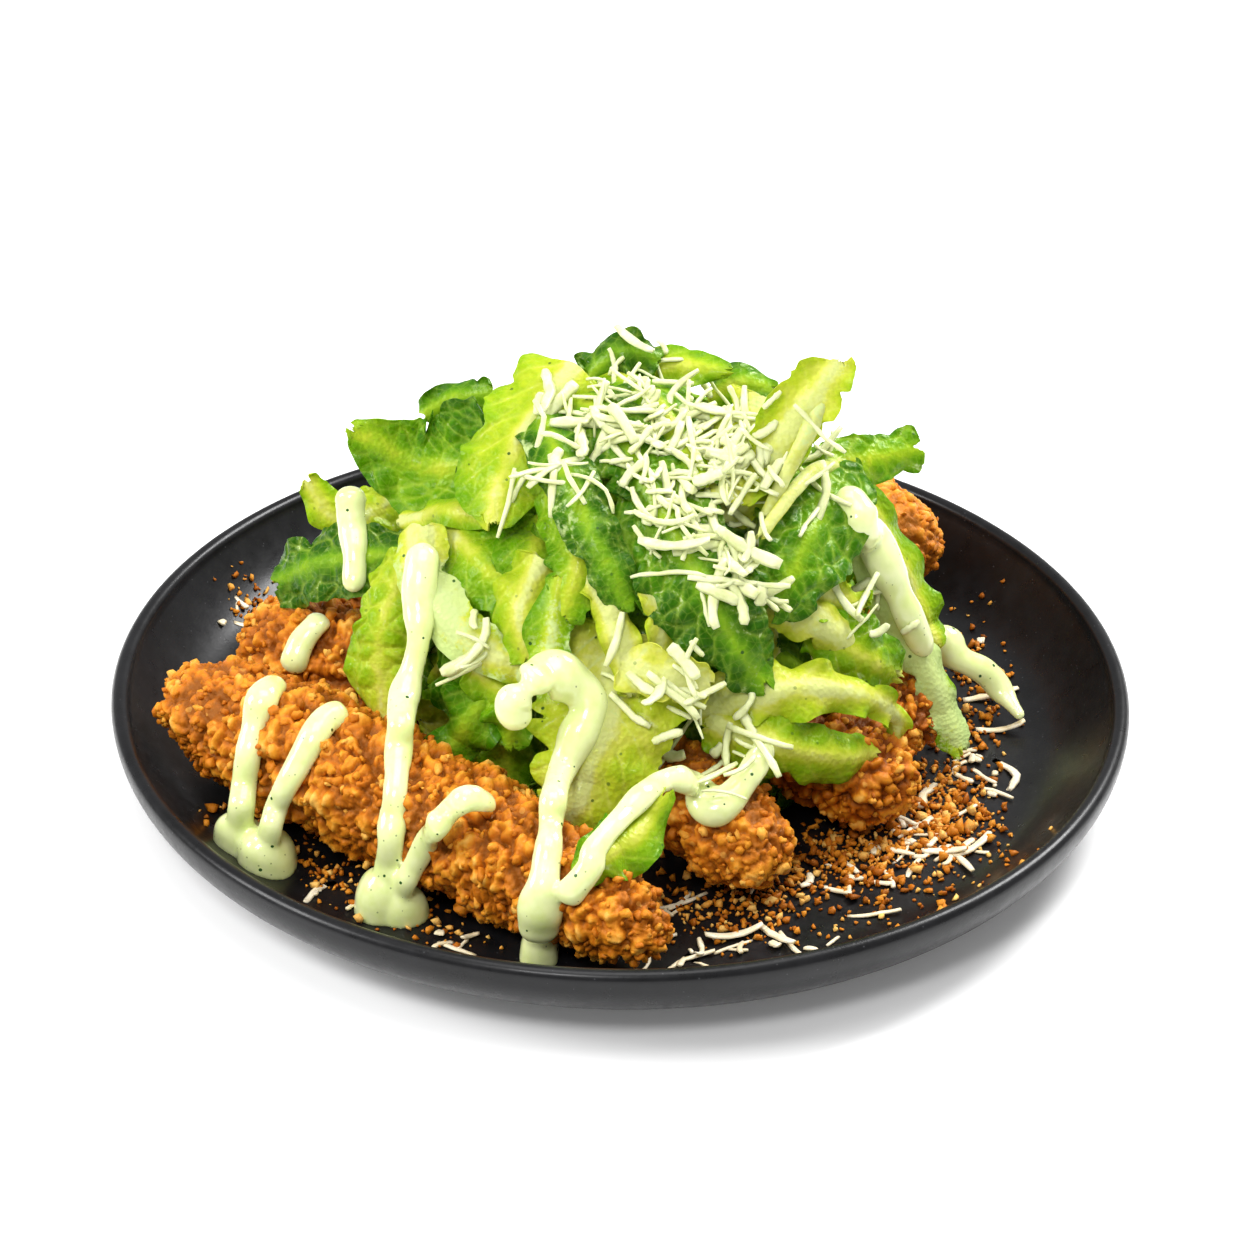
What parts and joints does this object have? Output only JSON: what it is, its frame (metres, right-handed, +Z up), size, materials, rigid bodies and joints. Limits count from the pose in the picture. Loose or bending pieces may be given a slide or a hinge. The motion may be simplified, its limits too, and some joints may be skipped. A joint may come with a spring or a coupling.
{
  "type": "crispy chicken caesar salad on a plate",
  "caption": "Plated caesar salad: crumbed chicken tenders and a tall heap of torn romaine with drizzled dressing and grated cheese on a round black coupe plate.",
  "frame": {"origin": "centre of the plate's foot, on the surface that it stands on", "axes": "+Z up; -Y towards the viewer, +X to the viewer's right"},
  "size_m": [0.25, 0.25, 0.1096],
  "materials": {
    "plate_glaze": "black satin stoneware glaze with a fine speckle",
    "crumb_coating": "golden fried crumb coating",
    "lettuce": "moist romaine, dark green blades to pale yellow hearts",
    "dressing": "glossy pale green herb dressing",
    "cheese": "grated hard cheese"
  },
  "bodies": {
    "root": {"plate": "plate_glaze", "lettuce_heap": "lettuce", "tender_front": "crumb_coating", "tender_left": "crumb_coating", "tender_left_rear": "crumb_coating", "tender_centre": "crumb_coating", "tender_right_centre": "crumb_coating", "tender_right": "crumb_coating", "tender_back_right": "crumb_coating"}
  },
  "joints": []
}
